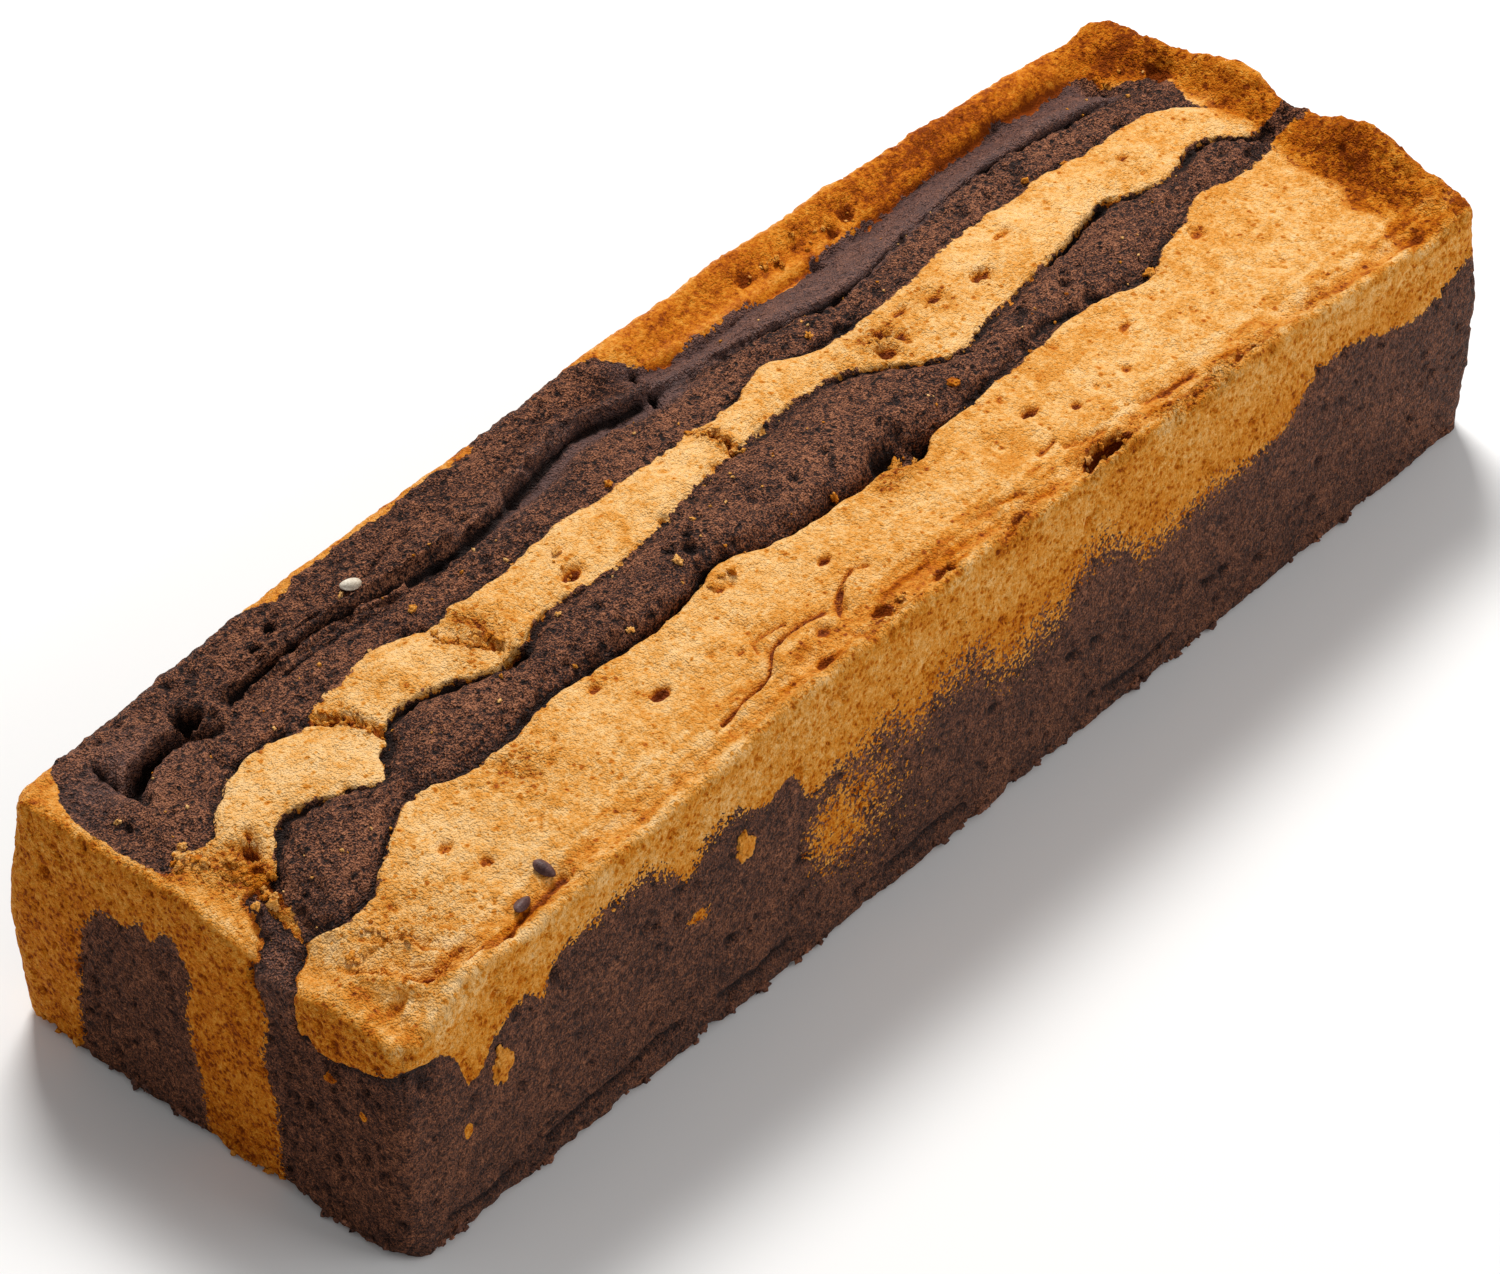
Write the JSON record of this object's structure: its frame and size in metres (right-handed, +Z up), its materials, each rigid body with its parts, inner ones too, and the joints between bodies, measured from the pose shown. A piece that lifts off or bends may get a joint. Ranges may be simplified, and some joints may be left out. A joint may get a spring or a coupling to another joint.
{
  "type": "marble cake",
  "caption": "Whole long marble cake, uncut, with a domed and folded top in vanilla and chocolate bands and straight baked sides.",
  "frame": {"origin": "middle of the loaf's footprint, on the surface that it stands on", "axes": "+X along the loaf towards the end with the high scalloped rim, +Y across it, +Z up"},
  "size_m": [0.254, 0.082, 0.0541],
  "materials": {
    "crumb": "baked crumb, matt, vanilla and chocolate marbling"
  },
  "bodies": {
    "root": {"marble_cake": "crumb"}
  },
  "joints": []
}
